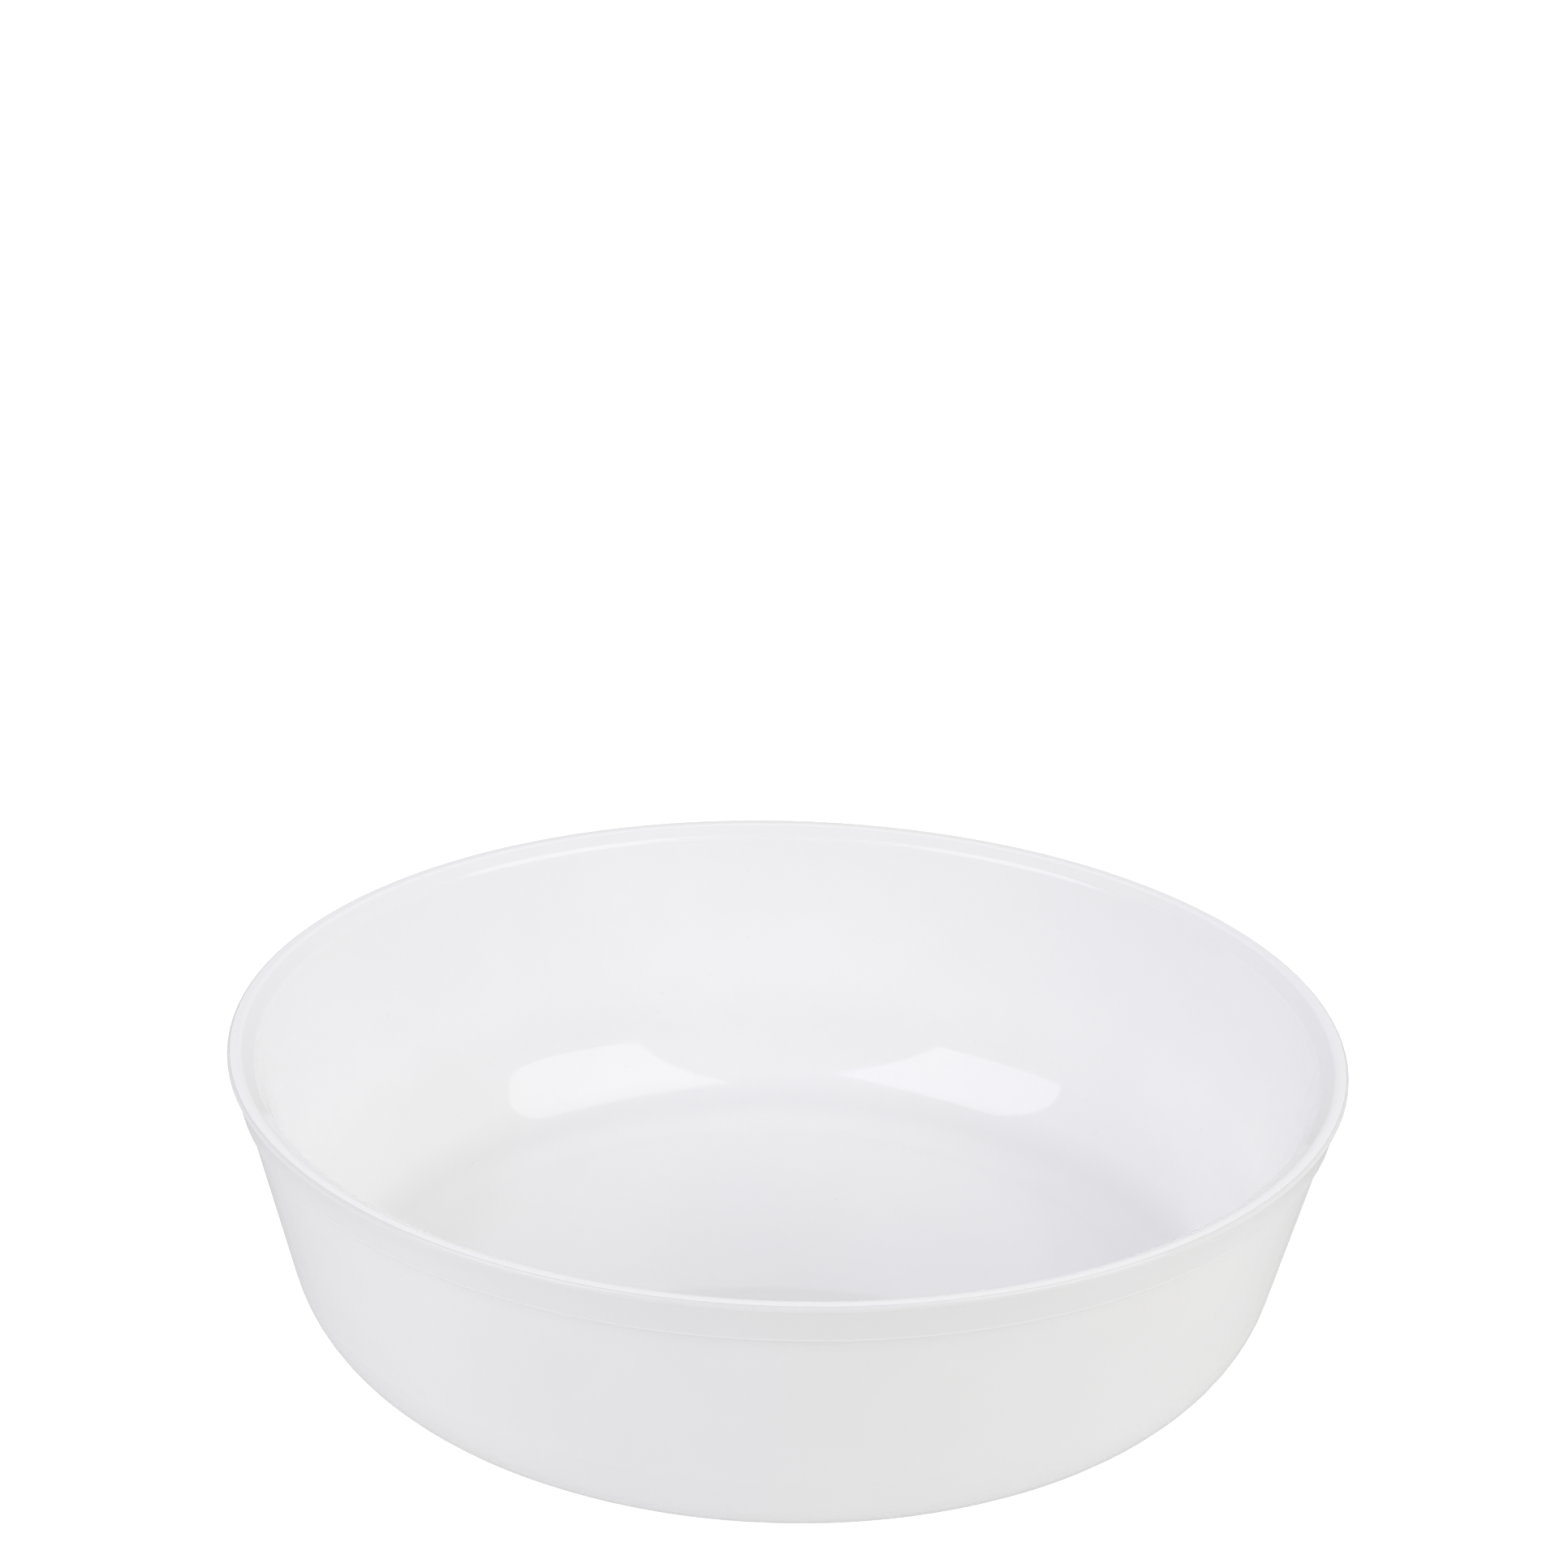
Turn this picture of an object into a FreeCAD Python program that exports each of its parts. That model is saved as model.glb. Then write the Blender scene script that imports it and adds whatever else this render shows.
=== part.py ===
import FreeCAD, Part
import math
import os
import Sketcher

# A shallow round dish made in one piece: flat foot, generous bottom corner, straight leaning wall
# and a short everted lip that stands a little proud of the wall below it.
# Millimetres, +Z up, origin at the centre of the foot.

SHEET = "Dimensions"

DIMENSIONS = [
    ("rim_radius", 75.0, "outside radius at the very top"),
    ("dish_height", 42.0, "foot to top of rim"),
    ("wall_lean", 14.5, "degrees the wall leans outwards from vertical"),
    ("corner_radius", 17.0, "outside radius between foot and wall"),
    ("lip_height", 5.6, "height of the band round the lip"),
    ("lip_overhang", 1.5, "how far the rim reaches past the foot of the band"),
    ("lip_curve", 18.0, "radius of the band's hollow curve"),
    ("rim_land", 0.7, "upright stretch between the band and the top of the rim"),
    ("step_depth", 0.55, "how far the band stands proud of the wall"),
    ("wall_thickness", 2.65, "measured square to the wall"),
    ("floor_thickness", 2.8, "at the middle of the dish"),
    ("inner_corner_radius", 15.0, "inside radius between floor and wall"),
    ("rim_thickness", 1.6, "across the top of the rim"),
    ("inner_lip_height", 1.65, "depth below the rim at which the inside starts to turn outwards"),
    ("inner_bend_radius", 1.0, "radius of that turn"),
    ("rim_rounding", 0.5, "outer edge of the rim"),
    ("inner_rim_rounding", 1.6, "inner edge of the rim"),
    ("step_rounding", 0.35, "foot of the band"),
    ("root_rounding", 0.1, "where the band meets the wall"),
]

# Sizes that follow from the ones above.
DERIVED = [
    ("rim_inner_radius", "=rim_radius - rim_thickness"),
    ("band_foot_radius", "=rim_radius - lip_overhang"),
    ("band_foot_level", "=dish_height - lip_height"),
    ("band_top_level", "=dish_height - rim_land"),
    ("step_end_radius", "=band_foot_radius - step_rounding"),
    ("wall_top_radius", "=band_foot_radius - step_depth"),
    ("bend_level", "=dish_height - inner_lip_height"),
    ("wall_width", "=wall_thickness / cos(wall_lean)"),
    ("bend_setback", "=(lip_height - inner_lip_height) * tan(wall_lean)"),
    ("bend_radius", "=wall_top_radius - wall_width + bend_setback"),
]

# Numbers for the two ends of a line or arc, and for the origin and upright axis of a sketch.
START = 1
END = 2
ORIGIN = -1
UPRIGHT = -2

EDGE_TOLERANCE = 0.01


def make_sheet(doc):
    sheet = doc.addObject("Spreadsheet::Sheet", SHEET)
    rows = [(alias, str(value), note) for alias, value, note in DIMENSIONS]
    rows += [(alias, formula, "") for alias, formula in DERIVED]
    for row, (alias, content, note) in enumerate(rows, start=1):
        sheet.set(f"A{row}", alias)
        sheet.set(f"B{row}", content)
        sheet.set(f"C{row}", note)
        sheet.setAlias(f"B{row}", alias)
    doc.recompute()
    return {alias: float(sheet.get(alias)) for alias, _, _ in rows}


def new_sketch(body, name):
    sketch = body.newObject("Sketcher::SketchObject", name)
    upright_plane = next(f for f in body.Origin.OriginFeatures if f.Role == "XZ_Plane")
    sketch.AttachmentSupport = [(upright_plane, "")]
    sketch.MapMode = "FlatFace"
    return sketch


def line(sketch, start, end):
    return sketch.addGeometry(Part.LineSegment(FreeCAD.Vector(*start, 0), FreeCAD.Vector(*end, 0)))


def arc(sketch, centre, radius, from_angle, to_angle):
    circle = Part.Circle(FreeCAD.Vector(*centre, 0), FreeCAD.Vector(0, 0, 1), radius)
    return sketch.addGeometry(Part.ArcOfCircle(circle, from_angle, to_angle))


def between(centre, point):
    """The angle at which a point lies as seen from a centre, from 0 to a full turn."""
    return math.atan2(point[1] - centre[1], point[0] - centre[0]) % (2 * math.pi)


def meeting(first, first_distance, second, second_distance):
    """The point at these distances from two others, to the right of the way from one to the other."""
    gap = math.dist(first, second)
    along = (gap**2 + first_distance**2 - second_distance**2) / (2 * gap)
    aside = math.sqrt(first_distance**2 - along**2)
    across, up = (second[0] - first[0]) / gap, (second[1] - first[1]) / gap
    return first[0] + along * across + aside * up, first[1] + along * up - aside * across


def hold(sketch, *constraint):
    return sketch.addConstraint(Sketcher.Constraint(*constraint))


def drive(sketch, alias, *constraint, formula=None):
    """Adds a constraint whose value the sheet sets."""
    index = hold(sketch, *constraint)
    name = f"{sketch.Name}_{alias}"
    sketch.renameConstraint(index, name)
    sketch.setExpression(f"Constraints.{name}", formula or f"{SHEET}.{alias}")


def place(sketch, size, geometry, end, across, up):
    """Holds one end of a line at the named distance from the axis and the named height."""
    drive(sketch, across, "DistanceX", ORIGIN, START, geometry, end, size[across])
    drive(sketch, up, "DistanceY", ORIGIN, START, geometry, end, size[up])


def lower_outline(sketch, size, base_level, corner, top):
    """Draws base, corner and leaning wall, tangent to one another, and returns the base and the wall."""
    lean = math.radians(size["wall_lean"])
    radius = size[corner]
    bend_start_level = base_level + radius * (1 - math.sin(lean))
    bend_start_radius = top[0] - (top[1] - bend_start_level) * math.tan(lean)
    centre = (bend_start_radius - radius * math.cos(lean), base_level + radius)
    base = line(sketch, (0, base_level), (centre[0], base_level))
    bend = arc(sketch, centre, radius, -math.pi / 2, -lean)
    wall = line(sketch, (bend_start_radius, bend_start_level), top)
    hold(sketch, "Horizontal", base)
    hold(sketch, "Tangent", base, END, bend, START)
    hold(sketch, "Tangent", bend, END, wall, START)
    drive(sketch, corner, "Radius", bend, radius)
    upright_angle = math.pi / 2 - lean
    drive(sketch, "wall_lean", "Angle", wall, upright_angle, formula=f"90 - {SHEET}.wall_lean")
    return base, wall


def close_outline(sketch, size, base, rim_edge, rim_edge_end, rim_radius):
    """Draws the top across to the axis and the axis down to the base."""
    height = size["dish_height"]
    top = line(sketch, (size[rim_radius], height), (0, height))
    axis = line(sketch, (0, height), (0, 0))
    hold(sketch, "Coincident", rim_edge, rim_edge_end, top, START)
    hold(sketch, "Coincident", top, END, axis, START)
    hold(sketch, "Coincident", axis, END, base, START)
    hold(sketch, "Horizontal", top)
    hold(sketch, "Vertical", axis)
    place(sketch, size, top, START, rim_radius, "dish_height")


def draw_outside(sketch, size):
    foot_level = size["band_foot_level"]
    rounding = size["step_rounding"]
    curve = size["lip_curve"]
    wall_top = (size["wall_top_radius"], foot_level)
    step_end = (size["step_end_radius"], foot_level)
    band_top = (size["rim_radius"], size["band_top_level"])
    rim = (size["rim_radius"], size["dish_height"])

    base, wall = lower_outline(sketch, size, 0, "corner_radius", wall_top)
    hold(sketch, "Coincident", base, START, ORIGIN, START)
    place(sketch, size, wall, END, "wall_top_radius", "band_foot_level")
    step = line(sketch, wall_top, step_end)
    hold(sketch, "Coincident", wall, END, step, START)
    hold(sketch, "Horizontal", step)

    # The band curves inwards, so its centre lies outside the dish. Its foot is rounded into the step.
    foot_centre = (step_end[0], foot_level + rounding)
    band_centre = meeting(foot_centre, curve + rounding, band_top, curve)
    foot_end = between(foot_centre, band_centre) - 2 * math.pi
    foot = arc(sketch, foot_centre, rounding, -math.pi / 2, foot_end)
    band_angles = between(band_centre, band_top), between(band_centre, foot_centre)
    band = arc(sketch, band_centre, curve, *band_angles)
    hold(sketch, "Tangent", step, END, foot, START)
    hold(sketch, "Tangent", foot, END, band, END)
    drive(sketch, "step_rounding", "Radius", foot, rounding)
    drive(sketch, "step_end_radius", "DistanceX", ORIGIN, START, step, END, step_end[0])
    drive(sketch, "lip_curve", "Radius", band, curve)

    land = line(sketch, band_top, rim)
    hold(sketch, "Coincident", band, START, land, START)
    hold(sketch, "Vertical", land)
    drive(sketch, "rim_land", "DistanceY", land, START, land, END, size["rim_land"])
    close_outline(sketch, size, base, land, END, "rim_radius")


def draw_inside(sketch, size):
    floor = size["floor_thickness"]
    radius = size["inner_bend_radius"]
    lean = math.radians(size["wall_lean"])
    wall_end = (size["bend_radius"], size["bend_level"])
    rim = (size["rim_inner_radius"], size["dish_height"])
    base, wall = lower_outline(sketch, size, floor, "inner_corner_radius", wall_end)
    hold(sketch, "PointOnObject", base, START, UPRIGHT)
    drive(sketch, "floor_thickness", "DistanceY", ORIGIN, START, base, START, floor)
    place(sketch, size, wall, END, "bend_radius", "bend_level")

    # The bend leaves the wall outwards, and the lip runs straight from it to the rim.
    centre = (wall_end[0] + radius * math.cos(lean), wall_end[1] - radius * math.sin(lean))
    lip_angle = between(centre, rim) + math.acos(radius / math.dist(centre, rim))
    lip_start = (centre[0] + radius * math.cos(lip_angle), centre[1] + radius * math.sin(lip_angle))
    bend = arc(sketch, centre, radius, lip_angle, math.pi - lean)
    lip = line(sketch, lip_start, rim)
    hold(sketch, "Tangent", wall, END, bend, END)
    hold(sketch, "Tangent", bend, START, lip, START)
    drive(sketch, "inner_bend_radius", "Radius", bend, radius)
    close_outline(sketch, size, base, lip, END, "rim_inner_radius")


def turn(body, kind, name, draw, size):
    """Turns a drawn outline about the upright axis, adding material or taking it away."""
    sketch = new_sketch(body, f"{name}_outline")
    draw(sketch, size)
    feature = body.newObject(f"PartDesign::{kind}", name)
    feature.Profile = sketch
    feature.ReferenceAxis = (sketch, ["V_Axis"])
    feature.Angle = 360
    sketch.Visibility = False
    body.Document.recompute()
    return feature


def ring_at(shape, radius, level):
    """Names the one circular edge with this radius at this level."""
    found = [
        f"Edge{number}"
        for number, edge in enumerate(shape.Edges, start=1)
        if isinstance(edge.Curve, Part.Circle)
        and abs(edge.Curve.Radius - radius) < EDGE_TOLERANCE
        and abs(edge.Curve.Center.z - level) < EDGE_TOLERANCE
    ]
    if len(found) != 1:
        raise RuntimeError(f"{len(found)} edges of radius {radius} at level {level}")
    return found[0]


def round_edge(body, name, base, ring, alias):
    fillet = body.newObject("PartDesign::Fillet", name)
    fillet.Base = (base, [ring_at(base.Shape, *ring)])
    fillet.setExpression("Radius", f"{SHEET}.{alias}")
    body.Document.recompute()
    return fillet


def make_dish(doc, size):
    body = doc.addObject("PartDesign::Body", "dish")
    body.Label = "dish"
    solid = turn(body, "Revolution", "outside", draw_outside, size)
    full_volume = solid.Shape.Volume
    dish = turn(body, "Groove", "hollow", draw_inside, size)
    if not 0 < dish.Shape.Volume < full_volume:
        raise RuntimeError("the hollow was not cut")

    height = size["dish_height"]
    foot_level = size["band_foot_level"]
    rim = (size["rim_radius"], height)
    inner_rim = (size["rim_inner_radius"], height)
    wall_top = (size["wall_top_radius"], foot_level)
    dish = round_edge(body, "rim_round", dish, rim, "rim_rounding")
    dish = round_edge(body, "inner_rim_round", dish, inner_rim, "inner_rim_rounding")
    dish = round_edge(body, "root_round", dish, wall_top, "root_rounding")
    body.Tip = dish
    doc.recompute()
    return body


def check(doc):
    for item in doc.Objects:
        if {"Invalid", "Error"} & set(item.State):
            raise RuntimeError(f"{item.Name}: {item.State}")
        if item.TypeId == "Sketcher::SketchObject" and not item.FullyConstrained:
            raise RuntimeError(f"{item.Name} is not fully constrained")
        if item.TypeId.startswith("PartDesign::") and (item.Shape.isNull() or not item.Shape.isValid()):
            raise RuntimeError(f"{item.Name} has no valid shape")


def export(bodies):
    os.makedirs("parts", exist_ok=True)
    for body in bodies:
        if len(body.Shape.Solids) != 1:
            raise RuntimeError(f"{body.Label} is not one solid")
        body.Shape.exportStep(f"parts/{body.Label}.step")


doc = FreeCAD.newDocument("evaporating_dish")
size = make_sheet(doc)
dish = make_dish(doc, size)
check(doc)
export([dish])
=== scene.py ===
"""A round white glazed dish on a white studio table, lit by two large softboxes."""

import math

import bpy
from mathutils import Matrix, Vector


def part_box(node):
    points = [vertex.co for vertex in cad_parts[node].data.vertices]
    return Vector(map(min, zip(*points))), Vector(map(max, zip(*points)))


MM = 0.001

# The camera, as seen from the middle of the rim, and where that point falls in the square image.
FOCAL_IN_IMAGE_SIDES = 2.952
CAMERA_ELEVATION = 25.53
CAMERA_DISTANCE_IN_RIM_RADII = 8.31
CAMERA_ROLL = 1.70
RIM_BELOW_MIDDLE = 0.161
RIM_RIGHT_OF_MIDDLE = 0.003
SENSOR_WIDTH_MM = 36.0
NEAREST_SEEN = 0.01
FARTHEST_SEEN = 50

# The two softboxes. Each hangs in a direction as seen from the dish: degrees round from the
# camera's side, positive to its right, then degrees up. Spin turns a box about that line.
SOFTBOX_DISTANCE = 0.95
SOFTBOXES = {
    "softbox_right": {
        "round": 65,
        "up": 44.4,
        "spin": -19,
        "size": (0.64, 1.13),
        "power": 3.84,
        "colour": (1.0, 0.983, 0.988),
    },
    "softbox_left": {
        "round": -57,
        "up": 41,
        "spin": 3,
        "size": (0.65, 0.98),
        "power": 4.3,
        "colour": (0.920, 0.905, 1.0),
    },
}

# Brightness of the white room at eye level and overhead, and what each side of it adds to that.
ROOM_LEVEL = 0.054
ROOM_OVERHEAD = 0.026
ROOM_FRONT = 0.32
ROOM_BACK = 0.406
ROOM_LEFT = 0.6
ROOM_RIGHT = 0.815
# Brightness of the plain white backdrop that the camera sees in place of the room.
BACKDROP_WHITE = 1.05

# The table is lit from below, as a light table is, so it stays white under the dish. Mirrored in
# the glaze it is toned down, as a polarising filter does, which keeps the dish's edges crisp, and
# seen directly it is a little brighter, so that it stays plain white to its far edge.
TABLE_HALF_WIDTH = 6.0
TABLE_GLOW = 0.6825
TABLE_WHITE = 0.38
TABLE_SHADES = (0.99, 1.01)
TABLE_ROUGHNESS = (0.55, 0.7)
TABLE_SPECULAR = 0.2
MIRRORED_GLOW = 0.5
BACKDROP_GLOW = 0.13

# Colours of the glaze. The outside, the band, the top of the inner wall, the floor and the lip are
# painted darker than the inside white, as painted shade, and the crest is painted lighter, as a painted
# highlight. A cast is a tint that drifts slowly over the whole dish.
OUTSIDE_SHADED_WHITE = (0.757, 0.756, 0.757)
BAND_SHADED_WHITE = (0.735, 0.734, 0.735)
INSIDE_WHITE = (0.925, 0.925, 0.925)
WALL_TOP_SHADED_WHITE = (0.885, 0.885, 0.885)
FLOOR_SHADED_WHITE = (0.880, 0.880, 0.882)
FLOOR_MIDDLE_SHADED_WHITE = (0.820, 0.820, 0.824)
LIP_SHADED_WHITE = (0.866, 0.866, 0.868)
CREST_HIGHLIGHT_WHITE = (0.925, 0.925, 0.926)
COOL_CAST = (0.985, 0.990, 1.0)
WARM_CAST = (1.0, 0.997, 0.985)
SPECK = (0.70, 0.69, 0.67)
WORN_FOOT = (0.72, 0.71, 0.70)
# How much brighter the glaze is in its clouds, and in the painted highlight along the band's foot.
OUTSIDE_CLOUD = 1.015
INSIDE_CLOUD = 1.012
BAND_EDGE_HIGHLIGHT = 1.03
# How much of the glaze's colour a speck covers, and the worn foot.
SPECK_COVER = 0.35
WORN_COVER = 0.6

# Depths below the rim between which the tone changes: the painted highlight along the top of the rim,
# the painted shade at the lower end of the inner lip, and outside at the band's foot and above the
# painted highlight line along it.
CREST_HIGHLIGHT_DEPTHS = (0.1 * MM, 0.25 * MM)
LIP_DEPTHS = (1.28 * MM, 1.6 * MM)
BAND_HIGHLIGHT_DEPTHS = (5.1 * MM, 5.35 * MM)
BAND_FOOT_DEPTHS = (5.58 * MM, 5.62 * MM)
# Shares of the dish's height between which the inside of the wall darkens into painted shade towards
# its top, and loses gloss.
SHADED_WALL_SHARES = (0.5, 1.0)
DULL_WALL = (0.72, 0.92)
# Heights between which the wear on the foot fades out.
WORN_HEIGHTS = (0.2 * MM, 1.0 * MM)
# The upward part of the surface's direction, between the wall's and the floor's, over which the floor's
# painted shade comes in. Its painted shade deepens from this radius to the middle.
FLOOR_SHADE_TILT = (0.72, 0.90)
FLOOR_SHADE_RADIUS = 50 * MM
# A surface that faces a point this far above the rim is inside the dish. The blur is the cosine,
# either side of edge-on to that point, within which the tone changes over between the outside's
# painted shade and the lighter inside.
HOLLOW_ABOVE_RIM = 20 * MM
INSIDE_BLUR = 0.05

# Roughness of the glaze where it is clear and in its clouds, and what wear and dullness add.
CLEAR_ROUGHNESS = 0.012
CLOUD_ROUGHNESS = 0.03
WORN_ROUGHNESS = 0.35
DULL_WALL_ROUGHNESS = 0.22
GLAZE_IOR = 1.42

# Noise scales of the patterns, and the noise values between which each comes in.
DRIFT_SCALE = 18
CLOUD_SCALE = 60
FINE_SCALE = 900
TABLE_PATCH_SCALE = 3
TABLE_GRAIN_SCALE = 400
DRIFT_RANGE = (0.35, 0.65)
CLOUD_RANGE = (0.35, 0.7)
ROUGHNESS_RANGE = (0.3, 0.7)
SPECK_RANGE = (0.74, 0.80)
# Strength and depth of the ripple in the glaze, of its finest grain and of the table's grain.
RIPPLE = (0.04, 1.2 * MM)
FINE_GRAIN = (0.03, 0.03 * MM)
TABLE_GRAIN = (0.05, 0.1 * MM)


def shade(colour, share):
    return tuple(channel * share for channel in colour)


def towards(azimuth, elevation):
    """A direction by degrees round from the camera's side and degrees up."""
    a, e = math.radians(azimuth), math.radians(elevation)
    return Vector((math.sin(a) * math.cos(e), -math.cos(a) * math.cos(e), math.sin(e)))


class Nodes:
    """Short calls for wiring up a material or a world."""

    def __init__(self, tree):
        self.tree = tree

    def add(self, kind, **settings):
        node = self.tree.nodes.new(kind)
        for key, value in settings.items():
            setattr(node, key, value)
        return node

    def link(self, source, target):
        self.tree.links.new(source, target)

    def fill(self, socket, value):
        """Links a socket to another node's output, or sets it to a number."""
        if isinstance(value, bpy.types.NodeSocket):
            self.link(value, socket)
        else:
            socket.default_value = value

    def split(self, vector):
        """The X, Y and Z of a vector, by those names."""
        node = self.add("ShaderNodeSeparateXYZ")
        self.link(vector, node.inputs["Vector"])
        return node.outputs

    def spread(self, value, from_low, from_high, to_low, to_high):
        node = self.add("ShaderNodeMapRange", clamp=True)
        limits = {"From Min": from_low, "From Max": from_high, "To Min": to_low, "To Max": to_high}
        for socket, number in limits.items():
            node.inputs[socket].default_value = number
        self.link(value, node.inputs["Value"])
        return node.outputs["Result"]

    def combine(self, operation, first, second):
        node = self.add("ShaderNodeMath", operation=operation)
        self.fill(node.inputs[0], first)
        self.fill(node.inputs[1], second)
        return node.outputs["Value"]


class Material(Nodes):
    """Calls for a surface. Patterns and positions are in the object's own coordinates."""

    def __init__(self, name):
        self.material = bpy.data.materials.new(name)
        self.material.use_nodes = True
        super().__init__(self.material.node_tree)
        self.surface = self.tree.nodes["Principled BSDF"]
        self.place = self.add("ShaderNodeTexCoord").outputs["Object"]

    def noise(self, scale, detail=2.0):
        node = self.add("ShaderNodeTexNoise")
        node.inputs["Scale"].default_value = scale
        node.inputs["Detail"].default_value = detail
        self.link(self.place, node.inputs["Vector"])
        return node.outputs["Fac"]

    def blend(self, share, first, second):
        node = self.add("ShaderNodeMix", data_type="RGBA")
        self.link(share, node.inputs["Factor"])
        for socket, colour in ((node.inputs[6], first), (node.inputs[7], second)):
            self.fill(socket, (*colour, 1) if isinstance(colour, tuple) else colour)
        return node.outputs[2]

    def tint(self, colour, cast):
        node = self.add("ShaderNodeMix", data_type="RGBA", blend_type="MULTIPLY")
        node.inputs[0].default_value = 1
        self.link(colour, node.inputs[6])
        self.link(cast, node.inputs[7])
        return node.outputs[2]

    def faces(self, point):
        """How squarely the surface faces a point: 1 towards it, -1 away from it."""
        way = self.add("ShaderNodeVectorMath", operation="SUBTRACT")
        way.inputs[0].default_value = point
        self.link(self.place, way.inputs[1])
        unit = self.add("ShaderNodeVectorMath", operation="NORMALIZE")
        self.link(way.outputs["Vector"], unit.inputs[0])
        match = self.add("ShaderNodeVectorMath", operation="DOT_PRODUCT")
        self.link(unit.outputs["Vector"], match.inputs[0])
        self.link(self.normal(), match.inputs[1])
        return match.outputs["Value"]

    def normal(self):
        return self.add("ShaderNodeNewGeometry").outputs["Normal"]

    def bump(self, height, strength, distance, below=None):
        node = self.add("ShaderNodeBump")
        node.inputs["Strength"].default_value = strength
        node.inputs["Distance"].default_value = distance
        self.link(height, node.inputs["Height"])
        if below is not None:
            self.link(below, node.inputs["Normal"])
        return node.outputs["Normal"]


def outside_colour(m, depth, clouds):
    """The outer wall in painted shade, and above it the band in darker painted shade with a painted
    highlight line along its foot.
    """
    # The outer wall and the band are painted darker than the inside, as painted shade.
    wall = m.blend(clouds, OUTSIDE_SHADED_WHITE, shade(OUTSIDE_SHADED_WHITE, OUTSIDE_CLOUD))
    shaded_band = m.blend(clouds, BAND_SHADED_WHITE, shade(BAND_SHADED_WHITE, OUTSIDE_CLOUD))
    # A painted highlight line along the foot of the band.
    edge_highlight = m.spread(depth, *BAND_HIGHLIGHT_DEPTHS, 0, 1)
    shaded_band = m.blend(edge_highlight, shaded_band, shade(OUTSIDE_SHADED_WHITE, BAND_EDGE_HIGHLIGHT))
    return m.blend(m.spread(depth, *BAND_FOOT_DEPTHS, 1, 0), wall, shaded_band)


def inside_colour(m, depth, height_share, clouds, lip):
    """The inner wall with painted shade towards its top, a floor in painted shade that deepens to its
    middle, and the lip in painted shade with a painted highlight along its crest.
    """
    wall = m.blend(clouds, INSIDE_WHITE, shade(INSIDE_WHITE, INSIDE_CLOUD))
    place = m.split(m.place)
    squares = [m.combine("MULTIPLY", place[way], place[way]) for way in "XY"]
    radius = m.combine("POWER", m.combine("ADD", *squares), 0.5)
    # Painted shade on the floor, deepest in its middle.
    shaded_floor = m.blend(m.spread(radius, 0, FLOOR_SHADE_RADIUS, 1, 0), FLOOR_SHADED_WHITE, FLOOR_MIDDLE_SHADED_WHITE)
    flat = m.spread(m.split(m.normal())["Z"], *FLOOR_SHADE_TILT, 0, 1)
    # Painted shade towards the top of the inner wall.
    inner = m.blend(m.spread(height_share, *SHADED_WALL_SHARES, 0, 1), m.blend(flat, wall, shaded_floor), WALL_TOP_SHADED_WHITE)
    # Painted shade on the lip, with a painted highlight along its crest.
    crest_highlight = m.spread(depth, *CREST_HIGHLIGHT_DEPTHS, 1, 0)
    return m.blend(lip, inner, m.blend(crest_highlight, LIP_SHADED_WHITE, CREST_HIGHLIGHT_WHITE))


def white_glaze(rim_level):
    """Glossy milky white, whitest inside, with painted shade on the outside, the band, the top of the
    inner wall, the floor and the lip, painted highlights along the crest and the band's foot, slow
    drifts of tint and gloss, a faint ripple and fine dust specks. It is dull where the foot has rubbed,
    and less so round the top of the inside wall."""
    m = Material("white_glaze")
    drift = m.noise(DRIFT_SCALE, detail=3)
    cloud = m.noise(CLOUD_SCALE, detail=4)
    fine = m.noise(FINE_SCALE, detail=3)
    level = m.split(m.place)["Z"]
    depth = m.combine("SUBTRACT", rim_level, level)
    height_share = m.combine("DIVIDE", level, rim_level)
    facing = m.faces((0, 0, rim_level + HOLLOW_ABOVE_RIM))
    inside = m.spread(facing, -INSIDE_BLUR, INSIDE_BLUR, 0, 1)
    lip = m.spread(depth, *LIP_DEPTHS, 1, 0)
    worn = m.spread(level, *WORN_HEIGHTS, 1, 0)

    clouds = m.spread(cloud, *CLOUD_RANGE, 0, 1)
    outer = outside_colour(m, depth, clouds)
    inner = inside_colour(m, depth, height_share, clouds, lip)
    cast = m.blend(m.spread(drift, *DRIFT_RANGE, 0, 1), COOL_CAST, WARM_CAST)
    colour = m.tint(m.blend(inside, outer, inner), cast)
    colour = m.blend(m.spread(fine, *SPECK_RANGE, 0, SPECK_COVER), colour, SPECK)
    colour = m.blend(m.combine("MULTIPLY", worn, WORN_COVER), colour, WORN_FOOT)
    m.link(colour, m.surface.inputs["Base Color"])

    dull = m.spread(height_share, *DULL_WALL, 0, DULL_WALL_ROUGHNESS)
    below_lip = m.combine("MULTIPLY", inside, m.combine("SUBTRACT", 1, lip))
    roughness = m.spread(cloud, *ROUGHNESS_RANGE, CLEAR_ROUGHNESS, CLOUD_ROUGHNESS)
    roughness = m.combine("ADD", roughness, m.combine("MULTIPLY", worn, WORN_ROUGHNESS))
    roughness = m.combine("ADD", roughness, m.combine("MULTIPLY", dull, below_lip))
    m.link(roughness, m.surface.inputs["Roughness"])
    m.surface.inputs["IOR"].default_value = GLAZE_IOR

    ripple = m.bump(drift, *RIPPLE)
    m.link(m.bump(fine, *FINE_GRAIN, ripple), m.surface.inputs["Normal"])
    return m.material


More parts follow.
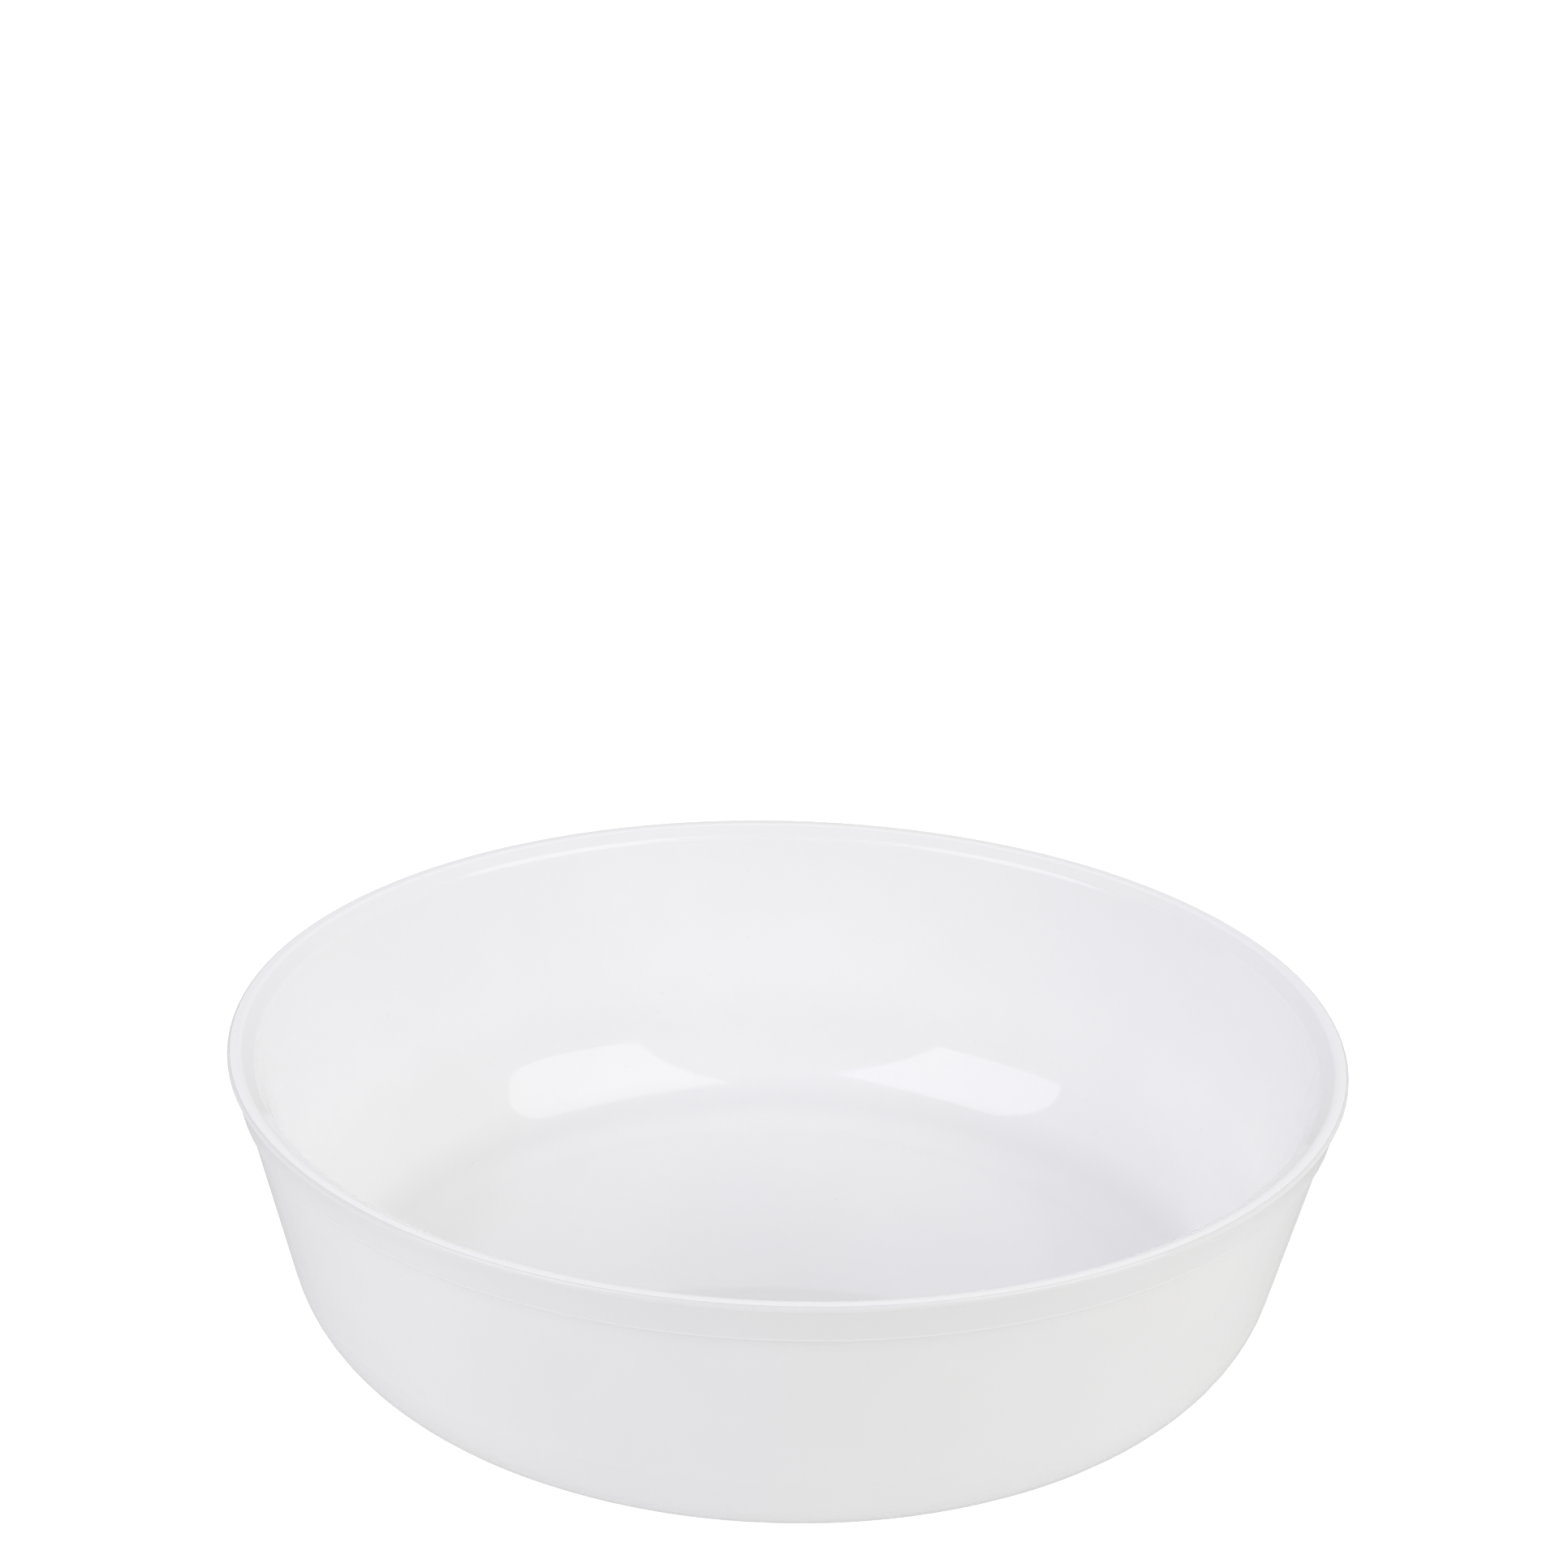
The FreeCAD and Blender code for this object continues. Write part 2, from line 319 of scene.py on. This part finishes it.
def table_top():
    """Plain white, barely glossy and slightly uneven, glowing as a light table does."""
    m = Material("table_top")
    uneven = m.noise(TABLE_PATCH_SCALE, detail=3)
    shades = [(TABLE_WHITE * share,) * 3 for share in TABLE_SHADES]
    m.link(m.blend(uneven, *shades), m.surface.inputs["Base Color"])
    m.link(m.spread(uneven, *ROUGHNESS_RANGE, *TABLE_ROUGHNESS), m.surface.inputs["Roughness"])
    m.surface.inputs["Specular IOR Level"].default_value = TABLE_SPECULAR
    m.surface.inputs["Emission Color"].default_value = (1, 1, 1, 1)
    seen = m.add("ShaderNodeLightPath").outputs
    glow = m.spread(seen["Is Glossy Ray"], 0, 1, TABLE_GLOW, MIRRORED_GLOW * TABLE_GLOW)
    glow = m.combine("ADD", glow, m.combine("MULTIPLY", seen["Is Camera Ray"], BACKDROP_GLOW))
    m.link(glow, m.surface.inputs["Emission Strength"])
    m.link(m.bump(m.noise(TABLE_GRAIN_SCALE), *TABLE_GRAIN), m.surface.inputs["Normal"])
    return m.material


def make_table(level):
    half = TABLE_HALF_WIDTH
    mesh = bpy.data.meshes.new("studio_table")
    ring = [(-half, -half, level), (half, -half, level), (half, half, level), (-half, half, level)]
    mesh.from_pydata(ring, [], [(0, 1, 2, 3)])
    table = bpy.data.objects.new("studio_table", mesh)
    bpy.context.scene.collection.objects.link(table)
    mesh.materials.append(table_top())


def light_room():
    """A white room that fades from eye level to overhead, with a brightness added towards each of
    its four sides. It lights the dish, and the camera sees a plain white backdrop instead."""
    world = bpy.data.worlds.new("room")
    world.use_nodes = True
    room = Nodes(world.node_tree)
    background = room.tree.nodes["Background"]
    ways = room.split(room.add("ShaderNodeTexCoord").outputs["Generated"])
    sides = (("Y", -1, ROOM_FRONT), ("Y", 1, ROOM_BACK), ("X", -1, ROOM_LEFT), ("X", 1, ROOM_RIGHT))
    total = room.spread(ways["Z"], 0, 1, ROOM_LEVEL, ROOM_OVERHEAD)
    for axis, far, brightness in sides:
        total = room.combine("ADD", total, room.spread(ways[axis], 0, far, 0, brightness))
    backdrop = room.add("ShaderNodeMix", data_type="FLOAT")
    room.link(room.add("ShaderNodeLightPath").outputs["Is Camera Ray"], backdrop.inputs[0])
    room.link(total, backdrop.inputs[2])
    backdrop.inputs[3].default_value = BACKDROP_WHITE
    room.link(backdrop.outputs[0], background.inputs["Strength"])
    background.inputs["Color"].default_value = (1, 1, 1, 1)
    bpy.context.scene.world = world


def add_softbox(centre, name, box):
    light = bpy.data.lights.new(name, "AREA")
    light.shape = "RECTANGLE"
    light.size, light.size_y = box["size"]
    light.energy = box["power"]
    light.color = box["colour"]
    lamp = bpy.data.objects.new(name, light)
    away = towards(box["round"], box["up"])
    facing = away.to_track_quat("Z", "Y").to_matrix().to_4x4()
    spin = Matrix.Rotation(math.radians(box["spin"]), 4, "Z")
    lamp.matrix_world = Matrix.Translation(centre + away * SOFTBOX_DISTANCE) @ facing @ spin
    bpy.context.scene.collection.objects.link(lamp)


def place_camera(rim_middle, rim_radius):
    data = bpy.data.cameras.new("camera")
    data.sensor_width = SENSOR_WIDTH_MM
    data.lens = FOCAL_IN_IMAGE_SIDES * SENSOR_WIDTH_MM
    data.clip_start = NEAREST_SEEN
    data.clip_end = FARTHEST_SEEN
    camera = bpy.data.objects.new("camera", data)
    bpy.context.scene.collection.objects.link(camera)
    back = towards(0, CAMERA_ELEVATION)
    aim = back.to_track_quat("Z", "Y").to_matrix().to_4x4()
    tilt = math.atan(RIM_BELOW_MIDDLE / FOCAL_IN_IMAGE_SIDES)
    pan = math.atan(RIM_RIGHT_OF_MIDDLE / FOCAL_IN_IMAGE_SIDES)
    turn = (
        Matrix.Rotation(math.radians(CAMERA_ROLL), 4, "Z")
        @ Matrix.Rotation(tilt, 4, "X")
        @ Matrix.Rotation(pan, 4, "Y")
    )
    place = Matrix.Translation(rim_middle + back * CAMERA_DISTANCE_IN_RIM_RADII * rim_radius)
    camera.matrix_world = place @ aim @ turn
    bpy.context.scene.camera = camera


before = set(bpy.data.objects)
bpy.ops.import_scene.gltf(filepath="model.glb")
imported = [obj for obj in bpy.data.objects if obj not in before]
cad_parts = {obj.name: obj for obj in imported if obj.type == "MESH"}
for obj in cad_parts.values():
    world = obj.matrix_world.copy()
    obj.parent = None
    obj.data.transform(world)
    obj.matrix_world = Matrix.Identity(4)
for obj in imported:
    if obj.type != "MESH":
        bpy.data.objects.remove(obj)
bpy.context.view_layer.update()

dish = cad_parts["dish"]
low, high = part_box("dish")
dish.data.materials.clear()
dish.data.materials.append(white_glaze(high.z))
rim_middle = Vector(((low.x + high.x) / 2, (low.y + high.y) / 2, high.z))
make_table(low.z)
light_room()
for name, box in SOFTBOXES.items():
    add_softbox(rim_middle, name, box)
place_camera(rim_middle, (high.x - low.x) / 2)
bpy.context.scene.view_settings.view_transform = "Standard"
